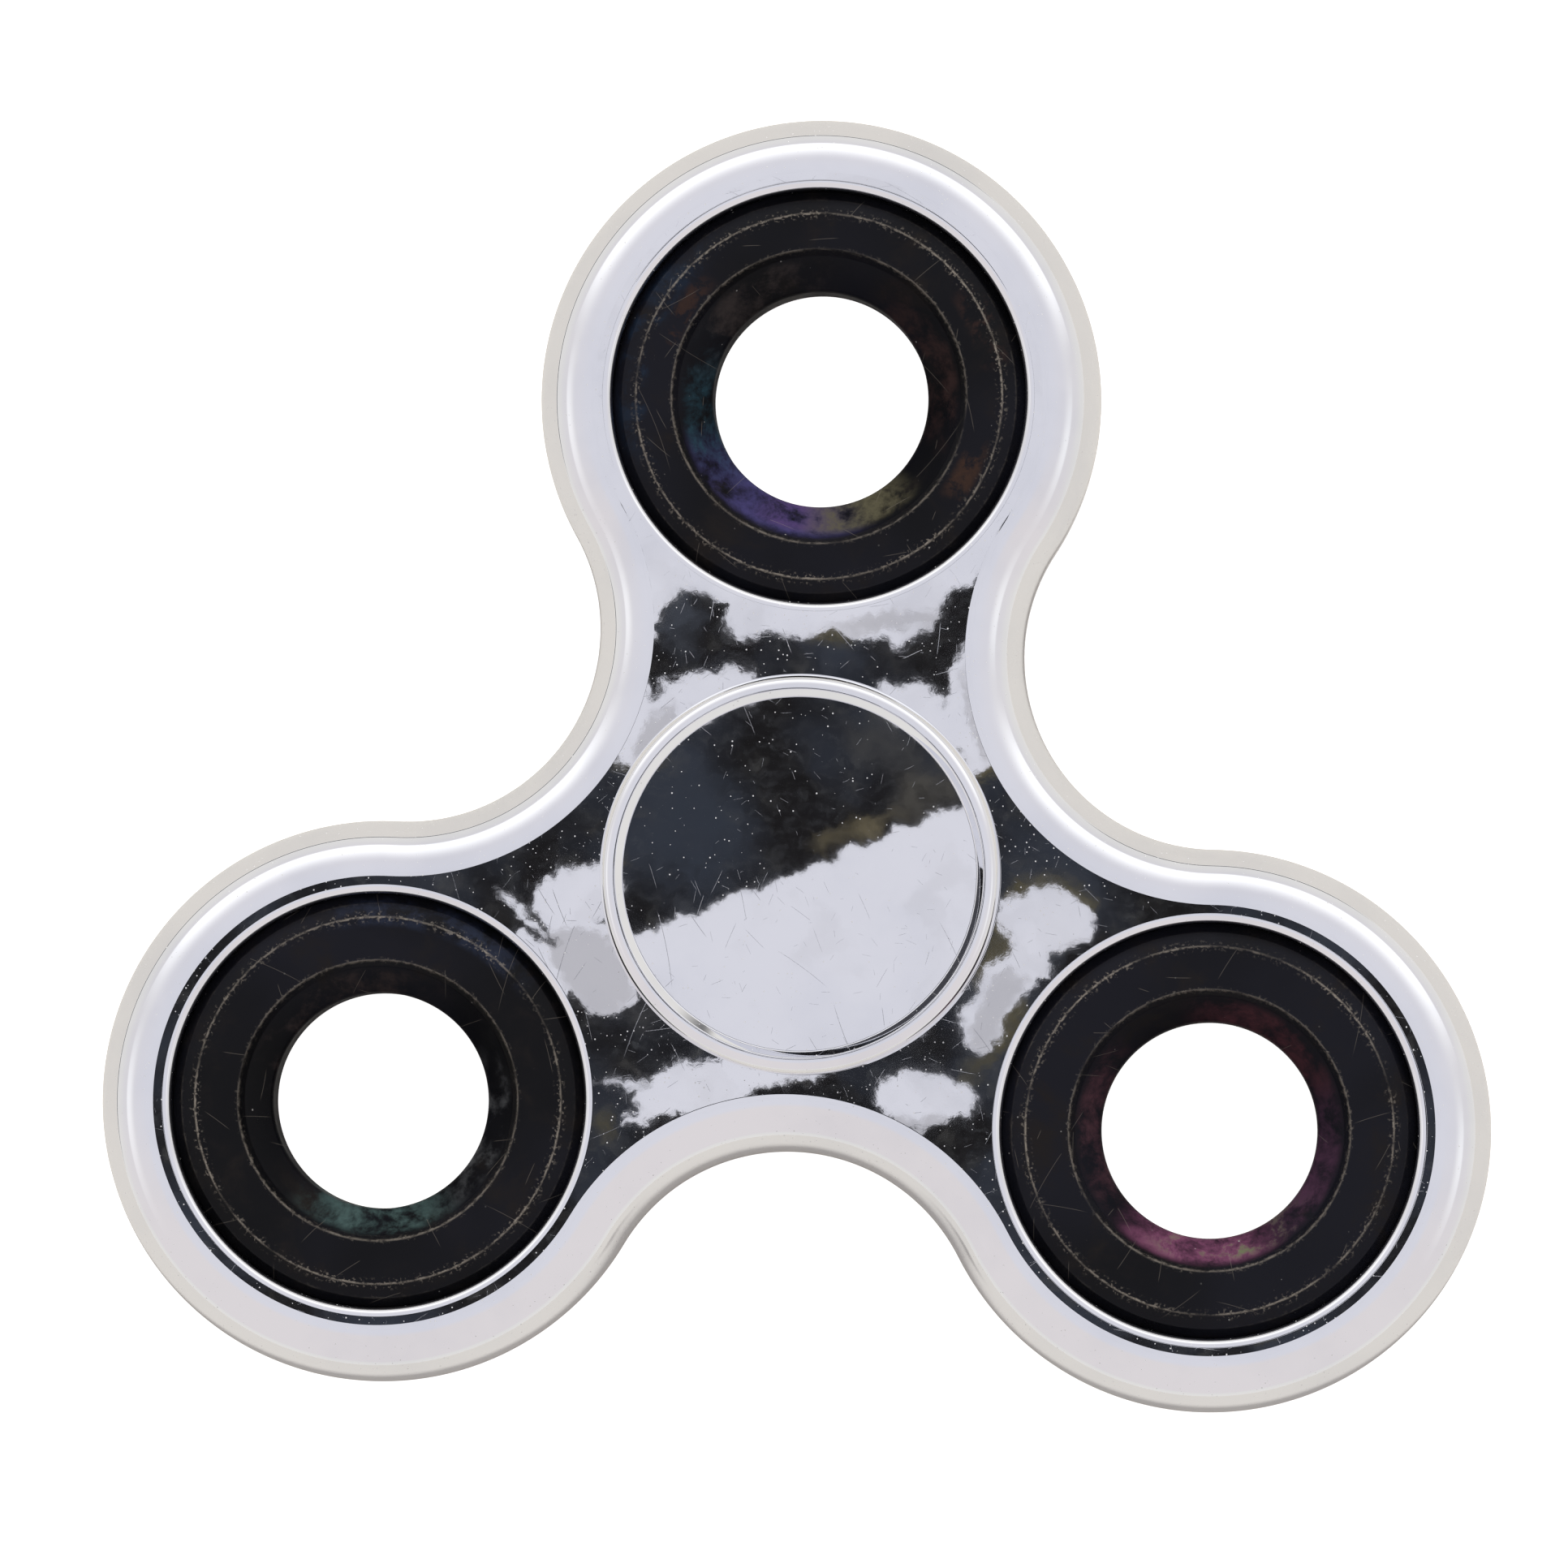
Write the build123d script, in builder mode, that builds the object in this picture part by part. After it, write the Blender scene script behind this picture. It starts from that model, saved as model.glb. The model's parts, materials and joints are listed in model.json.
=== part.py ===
from build123d import *
import math
import os

os.makedirs("parts", exist_ok=True)

# The spinner lies in the XY plane and turns about Z. The origin is the centre of its hub bearing,
# halfway through its thickness. All sizes are in millimetres and all angles in degrees.

# Hub bearing: a deep-groove ball bearing with pressed steel shields
bearing_bore = 8.0
bearing_diameter = 22.0
bearing_width = 7.0
bearing_corner = 0.3
ball_diameter = 3.969
ball_count = 7
ball_clearance = 0.015
groove_conformity = 0.52
inner_shoulder_drop = 1.45
outer_shoulder_rise = 1.55

# Shields, seated on steps in the outer ring
shield_thickness = 0.3
shield_inset = 0.3
shield_seat_width = 0.55
shield_gap = 0.3

# Riveted ribbon cage that spaces the balls
cage_sheet = 0.4
cage_half_width = 0.9
pocket_clearance = 0.1
rivet_head_share = 0.74
rivet_shank_share = 0.45
rivet_head_height = 0.25

# Ring weights pressed into the three lobes
weight_diameter = 22.0
weight_thickness = 7.0
weight_hole_diameter = 11.5
weight_wide_face = 15.7
weight_narrow_face = 14.9
weight_step_width = 0.3
weight_step_depth = 0.5
weight_face_diameter = 19.5
weight_shoulder_width = 0.75
weight_shoulder_depth = 0.3
weight_rim_depth = 0.6

# Three-lobed moulded body
lobe_count = 3
first_lobe_angle = 90.0
body_thickness = 8.0
lobe_wall = 4.0
waist_wall = 3.7
web_width = 3.5
edge_round = 3.0
bore_lip_round = 0.45
hub_lip_width = 1.0
hub_lip_round = 0.2

# Finger caps, clipped together through the bearing and clear of the body's faces
cap_gap = 0.4
cap_rise = 2.25
cap_clearance = 0.35
cap_edge_round = 0.75
cap_rim_width = 0.85
cap_slope_width = 0.35
cap_dish_depth = 0.35
cap_boss_width = 1.6
stem_clearance = 0.02
stem_wall = 1.5
stem_end_gap = 0.3
socket_depth = 4.5
post_end_gap = 0.4
post_chamfer = 0.3

# Radii and heights that follow from those sizes
bearing_radius = bearing_diameter / 2
bearing_half = bearing_width / 2
hub_opening_radius = bearing_radius - hub_lip_width
pitch_radius = (bearing_bore + bearing_diameter) / 4
ball_radius = ball_diameter / 2
groove_radius = groove_conformity * ball_diameter
inner_groove_bottom = pitch_radius - ball_radius - ball_clearance
outer_groove_bottom = pitch_radius + ball_radius + ball_clearance
inner_shoulder = pitch_radius - inner_shoulder_drop
outer_shoulder = pitch_radius + outer_shoulder_rise
shield_outer = outer_shoulder + shield_seat_width
shield_inner = inner_shoulder + shield_gap
shield_top = bearing_half - shield_inset
shield_bottom = shield_top - shield_thickness
pocket_radius = ball_radius + pocket_clearance
pocket_outer = pocket_radius + cage_sheet
cage_inner = pitch_radius - cage_half_width
cage_outer = pitch_radius + cage_half_width
ball_angle = 360 / ball_count
ball_spacing = 2 * pitch_radius * math.sin(math.pi / ball_count)
rivet_room = ball_spacing / 2 - pocket_outer
rivet_head = rivet_room * rivet_head_share
rivet_shank = rivet_room * rivet_shank_share
weight_radius = weight_diameter / 2
weight_half = weight_thickness / 2
weight_hole = weight_hole_diameter / 2
lobe_radius = weight_radius + lobe_wall
waist_radius = bearing_radius + waist_wall
arm_length = bearing_radius + weight_radius + web_width
body_half = body_thickness / 2
cap_radius = bearing_radius - cap_gap
cap_top = body_half + cap_rise
cap_bottom = body_half + cap_clearance
cap_field_radius = cap_radius - cap_rim_width - cap_slope_width
cap_field = cap_top - cap_dish_depth
stem_radius = bearing_bore / 2 - stem_clearance
boss_radius = bearing_bore / 2 + cap_boss_width
socket_radius = stem_radius - stem_wall
stem_end = stem_end_gap / 2
socket_top = stem_end + socket_depth
post_top = socket_top - post_end_gap

# A hollow arc between two lobes touches both lobe circles and passes the waist
hollow_radius = (arm_length**2 + waist_radius**2 - arm_length * waist_radius - lobe_radius**2) / (
    2 * lobe_radius + arm_length - 2 * waist_radius
)
hollow_distance = waist_radius + hollow_radius
lobe_angle = 360 / lobe_count
lobe_angles = [first_lobe_angle + lobe_angle * number for number in range(lobe_count)]


def at_angle(radius, angle):
    return Vector(radius * math.cos(math.radians(angle)), radius * math.sin(math.radians(angle)))


def touch_point(lobe, hollow):
    # where a lobe circle meets a hollow arc
    lobe_centre = at_angle(arm_length, lobe)
    hollow_centre = at_angle(hollow_distance, hollow)
    return lobe_centre + (hollow_centre - lobe_centre) * (lobe_radius / (lobe_radius + hollow_radius))


# Body: the lobed plate with rounded edges. Three through bores hold the weights. The bearing goes in from
# below, up to a thin lip round the hub's upper opening. All bore mouths are rounded.
with BuildPart() as body:
    with BuildSketch(Plane.XY.offset(-body_half)):
        with BuildLine():
            for angle in lobe_angles:
                before = angle - lobe_angle / 2
                after = angle + lobe_angle / 2
                lobe_start = touch_point(angle, before)
                lobe_end = touch_point(angle, after)
                next_start = touch_point(angle + lobe_angle, after)
                ThreePointArc(lobe_start, at_angle(arm_length + lobe_radius, angle), lobe_end)
                ThreePointArc(lobe_end, at_angle(waist_radius, after), next_start)
        make_face()
    extrude(amount=body_thickness)
    outline = body.edges().group_by(Axis.Z)
    fillet(outline[0] + outline[-1], edge_round)
    with BuildSketch(Plane.XY.offset(-body_half)):
        with PolarLocations(arm_length, lobe_count, start_angle=first_lobe_angle):
            Circle(weight_radius)
    extrude(amount=body_thickness, mode=Mode.SUBTRACT)
    with BuildSketch(Plane.XY.offset(-body_half)):
        Circle(bearing_radius)
    extrude(amount=body_half + bearing_half, mode=Mode.SUBTRACT)
    levels = body.edges().group_by(Axis.Z)
    bore_mouths = (levels[0] + levels[-1]).filter_by(lambda edge: edge.is_closed)
    fillet(bore_mouths, bore_lip_round)
    with BuildSketch(Plane.XY.offset(body_half)):
        Circle(hub_opening_radius)
    extrude(amount=-body_thickness, mode=Mode.SUBTRACT)
    top_circles = body.edges().group_by(Axis.Z)[-1].filter_by(lambda edge: edge.is_closed)
    fillet(top_circles.sort_by_distance(Vector(0, 0, body_half))[0], hub_lip_round)
body.part.label = "body"
export_step(body.part, "parts/body.step")

# Ring weights: a stepped countersink each end, one wider than the other, and a bevelled outer rim.
# The first one is pressed in the other way up.
face_radius = weight_face_diameter / 2
shoulder_radius = face_radius + weight_shoulder_width
shoulder_height = weight_half - weight_shoulder_depth
rim_height = shoulder_height - weight_rim_depth
step_height = weight_half - weight_step_depth
wide_step = weight_wide_face / 2 - weight_step_width
narrow_step = weight_narrow_face / 2 - weight_step_width
for number, angle in enumerate(lobe_angles):
    centre = at_angle(arm_length, angle)
    up = -1 if number == 0 else 1
    with BuildPart() as weight:
        with BuildSketch(Plane(origin=centre, x_dir=(1, 0, 0), z_dir=(0, up, 0))):
            with BuildLine():
                Polyline(
                    (weight_hole, step_height - (wide_step - weight_hole)),
                    (wide_step, step_height),
                    (weight_wide_face / 2, weight_half),
                    (face_radius, weight_half),
                    (shoulder_radius, shoulder_height),
                    (weight_radius, rim_height),
                    (weight_radius, -rim_height),
                    (shoulder_radius, -shoulder_height),
                    (face_radius, -weight_half),
                    (weight_narrow_face / 2, -weight_half),
                    (narrow_step, -step_height),
                    (weight_hole, -step_height + (narrow_step - weight_hole)),
                    close=True,
                )
            make_face()
        revolve(axis=Axis(centre, (0, 0, 1)))
    weight.part.label = f"weight_{number + 1}"
    export_step(weight.part, f"parts/weight_{number + 1}.step")

# Bearing outer ring: ball groove inside, and a step at each end for a shield
with BuildPart() as bearing_outer_ring:
    with BuildSketch(Plane.XZ):
        with BuildLine():
            Polyline(
                (outer_shoulder, -shield_bottom),
                (outer_shoulder, shield_bottom),
                (shield_outer, shield_bottom),
                (shield_outer, bearing_half),
                (bearing_radius, bearing_half),
                (bearing_radius, -bearing_half),
                (shield_outer, -bearing_half),
                (shield_outer, -shield_bottom),
                close=True,
            )
        make_face()
        with Locations((outer_groove_bottom - groove_radius, 0)):
            Circle(groove_radius, mode=Mode.SUBTRACT)
    revolve(axis=Axis.Z)
    ring_ends = bearing_outer_ring.faces().filter_by(GeomType.PLANE).sort_by(Axis.Z)
    outer_corners = [face.outer_wire().edges()[0] for face in (ring_ends[0], ring_ends[-1])]
    chamfer(outer_corners, bearing_corner)
bearing_outer_ring.part.label = "bearing_outer_ring"
export_step(bearing_outer_ring.part, "parts/bearing_outer_ring.step")

# Bearing inner ring: ball groove outside, bore for the cap stems
with BuildPart() as bearing_inner_ring:
    with BuildSketch(Plane.XZ):
        with Locations((bearing_bore / 2, 0)):
            Rectangle(inner_shoulder - bearing_bore / 2, bearing_width, align=(Align.MIN, Align.CENTER))
        with Locations((inner_groove_bottom + groove_radius, 0)):
            Circle(groove_radius, mode=Mode.SUBTRACT)
    revolve(axis=Axis.Z)
    ring_ends = bearing_inner_ring.faces().filter_by(GeomType.PLANE).sort_by(Axis.Z)
    bore_corners = [face.inner_wires()[0].edges()[0] for face in (ring_ends[0], ring_ends[-1])]
    chamfer(bore_corners, bearing_corner)
bearing_inner_ring.part.label = "bearing_inner_ring"
export_step(bearing_inner_ring.part, "parts/bearing_inner_ring.step")

# Balls, evenly spaced on the pitch circle
for number in range(ball_count):
    with BuildPart() as ball:
        with Locations(at_angle(pitch_radius, ball_angle * number)):
            Sphere(ball_radius)
    ball.part.label = f"ball_{number + 1}"
    export_step(ball.part, f"parts/ball_{number + 1}.step")

# Cage halves: a flat ribbon pressed into a round pocket over each ball, with rivet holes between
for label, side in (("cage_upper", 1), ("cage_lower", -1)):
    with BuildPart() as cage_half:
        with BuildSketch():
            Circle(cage_outer)
            Circle(cage_inner, mode=Mode.SUBTRACT)
        extrude(amount=side * cage_sheet)
        with PolarLocations(pitch_radius, ball_count):
            Sphere(pocket_outer)
        with BuildSketch():
            Circle(cage_outer)
            Circle(cage_inner, mode=Mode.SUBTRACT)
        extrude(amount=side * pocket_outer, mode=Mode.INTERSECT)
        with PolarLocations(pitch_radius, ball_count):
            Sphere(pocket_radius, mode=Mode.SUBTRACT)
        with PolarLocations(pitch_radius, ball_count, start_angle=ball_angle / 2):
            Cylinder(rivet_shank, 2 * cage_sheet, mode=Mode.SUBTRACT)
    cage_half.part.label = label
    export_step(cage_half.part, f"parts/{label}.step")

# Cage rivets, one between each two balls, headed over both halves
with BuildPart() as cage_rivets:
    with PolarLocations(pitch_radius, ball_count, start_angle=ball_angle / 2):
        Cylinder(rivet_shank, 2 * cage_sheet)
    for side in (1, -1):
        with BuildSketch(Plane.XY.offset(side * cage_sheet)):
            with PolarLocations(pitch_radius, ball_count, start_angle=ball_angle / 2):
                Circle(rivet_head)
        extrude(amount=side * rivet_head_height)
cage_rivets.part.label = "cage_rivets"
export_step(cage_rivets.part, "parts/cage_rivets.step")

# Shields: thin discs on the outer ring's steps, clear of the inner ring
for label, side in (("shield_upper", 1), ("shield_lower", -1)):
    with BuildPart() as shield:
        with BuildSketch(Plane.XY.offset(side * shield_bottom)):
            Circle(shield_outer)
            Circle(shield_inner, mode=Mode.SUBTRACT)
        extrude(amount=side * shield_thickness)
    shield.part.label = label
    export_step(shield.part, f"parts/{label}.step")

# Finger caps: a dished disc with a rounded rim, a boss that bears on the inner ring and a stem in its
# bore. The lower cap's post presses into the upper cap's socket.
for label, side in (("cap_upper", 1), ("cap_lower", -1)):
    with BuildPart() as cap:
        with BuildSketch(Plane.XZ):
            with BuildLine():
                Polyline(
                    (0, side * bearing_half),
                    (boss_radius, side * bearing_half),
                    (boss_radius, side * cap_bottom),
                    (cap_radius, side * cap_bottom),
                    (cap_radius, side * cap_top),
                    (cap_radius - cap_rim_width, side * cap_top),
                    (cap_field_radius, side * cap_field),
                    (0, side * cap_field),
                    close=True,
                )
            make_face()
        revolve(axis=Axis.Z)
        far_end = -1 if side > 0 else 0
        rim_edges = cap.edges().filter_by(GeomType.CIRCLE).group_by(Axis.Z)[far_end]
        fillet(rim_edges.sort_by(SortBy.RADIUS)[-1], cap_edge_round)
        with BuildSketch(Plane.XY.offset(side * bearing_half)):
            Circle(stem_radius)
        extrude(amount=-side * (bearing_half - stem_end))
        with BuildSketch(Plane.XY.offset(side * stem_end)):
            Circle(socket_radius)
        if side > 0:
            extrude(amount=socket_depth, mode=Mode.SUBTRACT)
        else:
            extrude(amount=post_top + stem_end)
            post_tip = cap.faces().sort_by(Axis.Z)[-1]
            chamfer(post_tip.edges(), post_chamfer)
    cap.part.label = label
    export_step(cap.part, f"parts/{label}.step")
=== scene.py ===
import bpy
import json
import math
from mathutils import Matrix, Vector
from mathutils.geometry import delaunay_2d_cdt

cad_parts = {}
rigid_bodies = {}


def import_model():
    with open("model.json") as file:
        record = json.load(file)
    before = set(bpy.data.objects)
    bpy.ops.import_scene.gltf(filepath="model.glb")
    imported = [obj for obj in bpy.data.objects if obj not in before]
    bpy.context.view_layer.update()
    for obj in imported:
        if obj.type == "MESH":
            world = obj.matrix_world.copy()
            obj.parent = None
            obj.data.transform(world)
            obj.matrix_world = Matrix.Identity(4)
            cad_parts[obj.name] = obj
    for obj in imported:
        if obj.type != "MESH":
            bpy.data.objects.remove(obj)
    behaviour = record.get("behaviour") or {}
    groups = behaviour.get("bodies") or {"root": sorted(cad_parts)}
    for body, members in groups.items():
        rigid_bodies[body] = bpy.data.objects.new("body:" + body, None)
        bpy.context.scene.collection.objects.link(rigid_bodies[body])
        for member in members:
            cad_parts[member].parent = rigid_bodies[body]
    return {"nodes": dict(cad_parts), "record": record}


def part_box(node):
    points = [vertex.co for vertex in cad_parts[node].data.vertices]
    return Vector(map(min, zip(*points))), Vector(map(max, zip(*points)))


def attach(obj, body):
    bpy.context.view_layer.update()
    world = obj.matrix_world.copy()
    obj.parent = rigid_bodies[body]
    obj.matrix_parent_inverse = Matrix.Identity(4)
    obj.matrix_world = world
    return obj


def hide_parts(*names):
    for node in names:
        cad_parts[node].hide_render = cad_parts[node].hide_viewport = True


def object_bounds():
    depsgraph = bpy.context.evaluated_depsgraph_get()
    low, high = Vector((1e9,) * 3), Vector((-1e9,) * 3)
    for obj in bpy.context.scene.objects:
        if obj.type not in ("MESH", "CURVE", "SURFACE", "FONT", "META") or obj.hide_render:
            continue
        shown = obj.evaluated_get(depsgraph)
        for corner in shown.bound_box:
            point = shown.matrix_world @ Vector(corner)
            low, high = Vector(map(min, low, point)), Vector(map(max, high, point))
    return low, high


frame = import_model()
cadLow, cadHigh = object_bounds()
scene = bpy.context.scene
millimetre = 0.001
print("frame loaded:", len(frame["nodes"]), "nodes")


# sizes that every piece takes from the frame

def middle(node):
    low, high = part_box(node)
    return (low + high) / 2


def halfSize(node):
    low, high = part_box(node)
    return (high - low) / 2


weightNodes = ["weight_1", "weight_2", "weight_3"]
lobeCentres = [middle(node) for node in weightNodes]
lobeAngles = [math.atan2(centre.y, centre.x) for centre in lobeCentres]
armLength = lobeCentres[0].xy.length
weightRadius = halfSize("weight_1").x
weightHalf = halfSize("weight_1").z
hubRadius = halfSize("bearing_outer_ring").x
bearingHalf = halfSize("bearing_outer_ring").z
bodyHalf = halfSize("body").z
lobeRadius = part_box("body")[1].y - armLength
capRadius = halfSize("cap_upper").x
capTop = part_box("cap_upper")[1].z
weightHole = next(mount["dims"]["r_mm"] for mount in frame["record"]["mounts"]
                  if mount["kind"] == "bore") * millimetre


# short helpers for building node trees

def plug(tree, value, socket):
    # a socket is linked, anything else is set on the socket itself, and a colour becomes an opaque one
    if isinstance(value, bpy.types.NodeSocket):
        tree.links.new(value, socket)
    elif socket.type == "RGBA":
        socket.default_value = (*value, 1.0)
    else:
        socket.default_value = value


def addNode(tree, kind, inputs=None, **settings):
    node = tree.nodes.new(kind)
    for name, value in settings.items():
        setattr(node, name, value)
    for name, value in (inputs or {}).items():
        plug(tree, value, node.inputs[name])
    return node


def calc(tree, operation, *values, clamp=False):
    node = addNode(tree, "ShaderNodeMath", operation=operation, use_clamp=clamp)
    for index, value in enumerate(values):
        plug(tree, value, node.inputs[index])
    return node.outputs[0]


def times(tree, first, *others):
    for other in others:
        first = calc(tree, "MULTIPLY", first, other)
    return first


def vectorCalc(tree, operation, *values, scale=None):
    node = addNode(tree, "ShaderNodeVectorMath", operation=operation)
    for index, value in enumerate(values):
        plug(tree, value, node.inputs[index])
    if scale is not None:
        plug(tree, scale, node.inputs["Scale"])
    return node.outputs["Value" if operation in ("LENGTH", "DOT_PRODUCT", "DISTANCE") else 0]


def levelled(tree, vector):
    # the vector without its height
    return vectorCalc(tree, "MULTIPLY", vector, (1.0, 1.0, 0.0))


def ramp(tree, value, low, high, toLow=0.0, toHigh=1.0, smooth=True):
    node = addNode(tree, "ShaderNodeMapRange", interpolation_type="SMOOTHSTEP" if smooth else "LINEAR")
    for index, item in enumerate((value, low, high, toLow, toHigh)):
        plug(tree, item, node.inputs[index])
    return node.outputs[0]


def blendColor(tree, factor, first, second, mode="MIX"):
    node = addNode(tree, "ShaderNodeMix", data_type="RGBA", blend_type=mode)
    plug(tree, factor, node.inputs[0])
    plug(tree, first, node.inputs[6])
    plug(tree, second, node.inputs[7])
    return node.outputs[2]


def noise(tree, vector, scale, detail=2.0, roughness=0.5, distortion=0.0):
    node = addNode(tree, "ShaderNodeTexNoise", {"Vector": vector, "Scale": scale, "Detail": detail,
                                                "Roughness": roughness, "Distortion": distortion})
    return node.outputs["Fac"]


def colorStops(tree, value, stops):
    # (place, colour) stops joined with eased steps
    node = addNode(tree, "ShaderNodeValToRGB", {"Fac": value})
    node.color_ramp.interpolation = "EASE"
    while len(node.color_ramp.elements) < len(stops):
        node.color_ramp.elements.new(0.5)
    for element, (place, color) in zip(node.color_ramp.elements, stops):
        element.position = place
        element.color = (*color, 1.0)
    return node.outputs["Color"]


def newGroup(name, **numbers):
    # a shader node group that takes a Vector and the named numbers and gives a Mask
    group = bpy.data.node_groups.new(name, "ShaderNodeTree")
    group.interface.new_socket("Vector", in_out="INPUT", socket_type="NodeSocketVector")
    for label, value in numbers.items():
        group.interface.new_socket(label, in_out="INPUT", socket_type="NodeSocketFloat").default_value = value
    group.interface.new_socket("Mask", in_out="OUTPUT", socket_type="NodeSocketFloat")
    return group, addNode(group, "NodeGroupInput").outputs, addNode(group, "NodeGroupOutput").inputs["Mask"]


def useGroup(tree, group, **values):
    return addNode(tree, "ShaderNodeGroup", values, node_tree=group).outputs["Mask"]


# shared effects

def makeDustSpecks():
    # sparse pale specks of uneven size, thicker in some areas
    group, given, mask = newGroup("dustSpecks", Scale=1200.0, Amount=0.3, Size=0.2)
    cells = addNode(group, "ShaderNodeTexVoronoi", {"Vector": given["Vector"], "Scale": given["Scale"]})
    chance = addNode(group, "ShaderNodeSeparateColor", {"Color": cells.outputs["Color"]})
    patches = noise(group, given["Vector"], 260.0, 3.0, 0.6)
    share = times(group, given["Amount"], ramp(group, patches, 0.35, 0.7, 0.25, 1.4))
    kept = calc(group, "LESS_THAN", chance.outputs[0], share)
    speckSize = times(group, given["Size"], ramp(group, chance.outputs[1], 0.0, 1.0, 0.3, 1.0))
    edge = times(group, speckSize, 0.6)
    dot = ramp(group, cells.outputs["Distance"], edge, speckSize, 1.0, 0.0)
    faint = ramp(group, chance.outputs[2], 0.0, 1.0, 0.15, 1.0)
    plug(group, times(group, dot, faint, kept), mask)
    return group


def makeHairScratches():
    # short straight scratches, at most one to a cell, each with its own turn and length
    group, given, mask = newGroup("hairScratches", Scale=300.0, Width=0.00002, Amount=0.3)
    cells = addNode(group, "ShaderNodeTexVoronoi", {"Vector": given["Vector"], "Scale": given["Scale"]},
                    voronoi_dimensions="2D")
    chance = addNode(group, "ShaderNodeSeparateColor", {"Color": cells.outputs["Color"]})
    local = vectorCalc(group, "SUBTRACT", given["Vector"], cells.outputs["Position"])
    turned = addNode(group, "ShaderNodeVectorRotate", {
        "Vector": local, "Angle": times(group, chance.outputs[0], 6.3)}, rotation_type="Z_AXIS")
    parts = addNode(group, "ShaderNodeSeparateXYZ", {"Vector": turned.outputs[0]})
    bend = times(group, parts.outputs["X"], parts.outputs["X"], 25.0)
    across = calc(group, "ABSOLUTE", calc(group, "ADD", parts.outputs["Y"], bend))
    reach = calc(group, "DIVIDE", ramp(group, chance.outputs[1], 0.0, 1.0, 0.15, 0.6), given["Scale"])
    fromMiddle = calc(group, "ABSOLUTE", parts.outputs["X"])
    along = ramp(group, fromMiddle, times(group, reach, 0.5), reach, 1.0, 0.0)
    thin = ramp(group, across, 0.0, given["Width"], 1.0, 0.0)
    kept = calc(group, "LESS_THAN", chance.outputs[2], given["Amount"])
    plug(group, times(group, thin, along, kept), mask)
    return group


def makeWornLine():
    # an edge of a turned ring that has worn bright: a thin broken line with crumbs scattered beside it
    group, given, mask = newGroup("wornLine", Radius=0.0, Edge=0.01, Width=0.0001, Spread=0.0003, Wear=0.5)
    ragged = noise(group, given["Vector"], 3200.0, 3.0, 0.7)
    wander = times(group, calc(group, "SUBTRACT", ragged, 0.5), 0.00015)
    wavy = calc(group, "ADD", given["Radius"], wander)
    offset = calc(group, "ABSOLUTE", calc(group, "SUBTRACT", wavy, given["Edge"]))
    line = ramp(group, offset, 0.0, given["Width"], 1.0, 0.0)
    coarse = noise(group, given["Vector"], 230.0, 3.0, 0.65)
    gate = calc(group, "SUBTRACT", 1.0, given["Wear"])
    kept = ramp(group, coarse, times(group, gate, 0.8), calc(group, "ADD", gate, 0.25), 0.03, 1.0)
    solid = times(group, line, ramp(group, ragged, 0.35, 0.6, 0.2, 1.0))
    near = ramp(group, offset, 0.0, given["Spread"], 1.0, 0.0)
    crumbs = noise(group, given["Vector"], 5200.0, 2.0, 0.6)
    loose = times(group, near, ramp(group, crumbs, 0.56, 0.66), 0.7)
    plug(group, times(group, calc(group, "MAXIMUM", solid, loose), kept), mask)
    return group


dustSpecks = makeDustSpecks()
hairScratches = makeHairScratches()
wornLine = makeWornLine()


def newMaterial(name):
    material = bpy.data.materials.new(name)
    material.use_nodes = True
    tree = material.node_tree
    tree.nodes.clear()
    output = addNode(tree, "ShaderNodeOutputMaterial")
    shader = addNode(tree, "ShaderNodeBsdfPrincipled")
    tree.links.new(shader.outputs[0], output.inputs["Surface"])
    place = addNode(tree, "ShaderNodeTexCoord").outputs["Object"]
    return material, tree, shader, place


def bumpFrom(tree, height, distance, strength=1.0, normal=None):
    node = addNode(tree, "ShaderNodeBump", {"Height": height, "Distance": distance, "Strength": strength})
    if normal is not None:
        plug(tree, normal, node.inputs["Normal"])
    return node.outputs["Normal"]


# chrome plating on moulded plastic

chromeFinish = {
    "tint": (0.90, 0.905, 0.925),
    "hazeTint": (0.84, 0.85, 0.88),
    "roughness": 0.008,
    "rippleSize": 1.6 * millimetre,
    "rippleHeight": 0.32e-6,
    "fineRippleHeight": 0.03e-6,
    "dustColor": (0.80, 0.80, 0.78),
    "dustScale": 4200.0,
    "dustSize": 0.2,
    "dustRoughness": 0.7,
    "scratches": ((260.0, 0.022e-3), (620.0, 0.018e-3), (1500.0, 0.013e-3)),
    "scratchRoughness": 0.10,
}


def scratchesOver(tree, place, layers, amounts):
    # layers: how many cells to a metre, and how wide a scratch is
    hair = None
    for (scale, width), amount in zip(layers, amounts):
        layer = useGroup(tree, hairScratches, Vector=place, Scale=scale, Width=width, Amount=amount)
        hair = layer if hair is None else calc(tree, "MAXIMUM", hair, layer)
    return hair


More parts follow.
